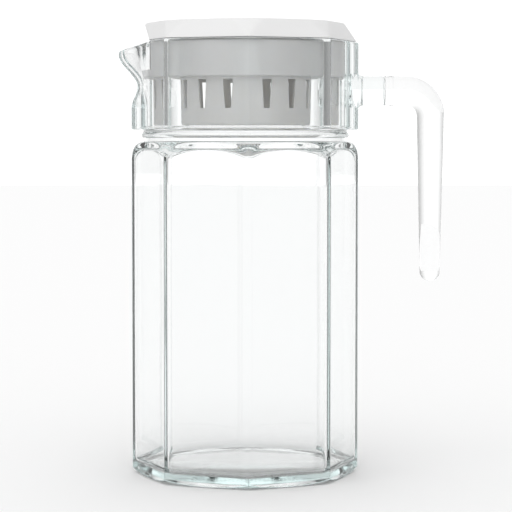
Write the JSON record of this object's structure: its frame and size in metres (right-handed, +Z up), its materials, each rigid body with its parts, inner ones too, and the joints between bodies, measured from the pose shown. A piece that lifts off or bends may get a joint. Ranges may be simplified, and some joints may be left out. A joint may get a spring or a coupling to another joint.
{
  "type": "lidded water jug",
  "caption": "Tall eight-sided glass water jug with a pouring spout, a glass rod handle and a white plastic lid that lifts off with its strainer plug.",
  "frame": {"origin": "middle of the whole object's footprint, on the surface it stands on", "axes": "+Z up along the jug, +X from the spout towards the handle"},
  "size_m": [0.1664, 0.116, 0.23],
  "materials": {
    "jug_glass": "clear fire-polished pressed glass",
    "lid_plastic": "satin white moulded plastic"
  },
  "bodies": {
    "jug": {"jug_body": "jug_glass", "handle": "jug_glass"},
    "lid": {"lid_cap": "lid_plastic", "lid_plug": "lid_plastic", "strainer": "lid_plastic"}
  },
  "joints": [
    {"name": "lid_lift", "type": "slide", "parent": "jug", "child": "lid", "axis": [0, 0, 1], "range_m": [0, 0.06]}
  ]
}
